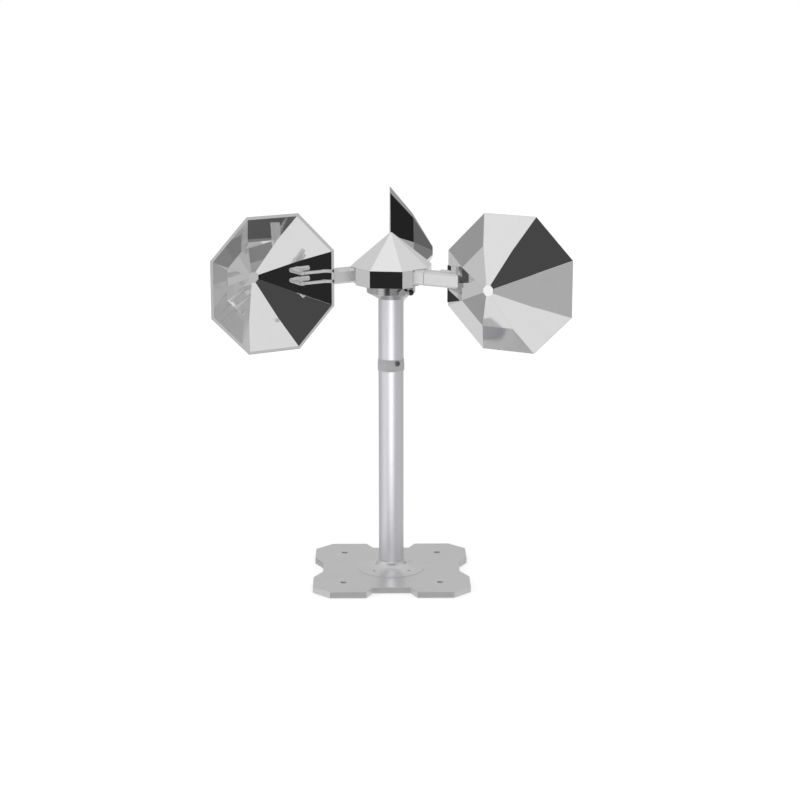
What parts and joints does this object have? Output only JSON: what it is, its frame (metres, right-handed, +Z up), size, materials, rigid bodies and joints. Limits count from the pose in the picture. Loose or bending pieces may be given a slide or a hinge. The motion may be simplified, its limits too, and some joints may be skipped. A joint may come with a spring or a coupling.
{
  "type": "wind-driven bird scarer",
  "caption": "Wind-spun reflective bird scarer: mirror-faceted octagonal cups on a rotor under a mirrored pyramid cap, on a pole with a notched base plate.",
  "frame": {"origin": "middle of the base plate's underside, on the pole's axis", "axes": "+Z up along the pole; -Y is the front, towards which two of the three cups lean at rest; +X to the right"},
  "size_m": [0.337, 0.3004, 0.3749],
  "materials": {
    "steel": "ground bearing steel",
    "mirror_plated_shell": "vacuum-metallised mirror plating on moulded plastic",
    "satin_silver_plastic": "satin silver moulded plastic",
    "aluminium_tube": "drawn, lightly brushed",
    "grey_moulded_sleeve": "satin grey moulding",
    "polished_aluminium": "polished",
    "black_plastic": "black moulded",
    "grey_painted_steel": "satin grey coating",
    "grey_cast_socket": "die cast, satin",
    "black_rubber": "moulded rubber",
    "dark_screw": "blackened steel",
    "brass_cage": "pressed brass",
    "zinc_steel": "zinc plated"
  },
  "bodies": {
    "pole": {"base_plate": "grey_painted_steel", "base_socket": "grey_cast_socket", "central_bolt": "zinc_steel", "socket_screws": "zinc_steel", "base_plug": "aluminium_tube", "lower_tube": "aluminium_tube", "upper_tube": "aluminium_tube", "pole_joiner": "aluminium_tube", "pole_sleeve": "grey_moulded_sleeve", "joint_screw": "dark_screw", "pole_cap": "polished_aluminium", "spindle": "zinc_steel", "spindle_nut": "zinc_steel", "bearing_spacer": "zinc_steel", "spindle_washer": "zinc_steel", "spindle_locknut": "zinc_steel", "lower_bearing_inner_race": "steel", "upper_bearing_inner_race": "steel"},
    "rotor": {"hub_body": "satin_silver_plastic", "hub_cap": "mirror_plated_shell", "hub_cap_screws": "zinc_steel", "arm_1": "satin_silver_plastic", "arm_2": "satin_silver_plastic", "arm_3": "satin_silver_plastic", "arm_screws": "zinc_steel", "cup_1": "mirror_plated_shell", "cup_2": "mirror_plated_shell", "cup_3": "mirror_plated_shell", "cup_pad_1": "black_rubber", "cup_pad_2": "black_rubber", "cup_pad_3": "black_rubber", "cup_screws": "zinc_steel", "lower_bearing_outer_race": "steel", "upper_bearing_outer_race": "steel", "lower_bearing_shields": "steel", "upper_bearing_shields": "steel"},
    "lock_lever": {"lock_lever": "polished_aluminium", "lock_knob": "black_plastic"},
    "lower_ball_cage": {"lower_bearing_balls": "steel", "lower_bearing_cage": "brass_cage"},
    "upper_ball_cage": {"upper_bearing_balls": "steel", "upper_bearing_cage": "brass_cage"}
  },
  "joints": [
    {"name": "rotor_spin", "type": "hinge", "parent": "pole", "child": "rotor", "pos_m": [0, 0, 0.3093], "axis": [0, 0, 1], "continuous": true},
    {"name": "lower_cage_spin", "type": "hinge", "parent": "pole", "child": "lower_ball_cage", "pos_m": [0, 0, 0.3048], "axis": [0, 0, 1], "continuous": true},
    {"name": "upper_cage_spin", "type": "hinge", "parent": "pole", "child": "upper_ball_cage", "pos_m": [0, 0, 0.3218], "axis": [0, 0, 1], "continuous": true},
    {"name": "lock_lever_turn", "type": "hinge", "parent": "pole", "child": "lock_lever", "pos_m": [0, 0, 0.293], "axis": [-0.3746, 0.9272, 0], "range_deg": [0, 110]}
  ],
  "couplings": [
    {"joint": "lower_cage_spin", "follows": "rotor_spin", "ratio": 0.63227},
    {"joint": "upper_cage_spin", "follows": "rotor_spin", "ratio": 0.63227}
  ]
}
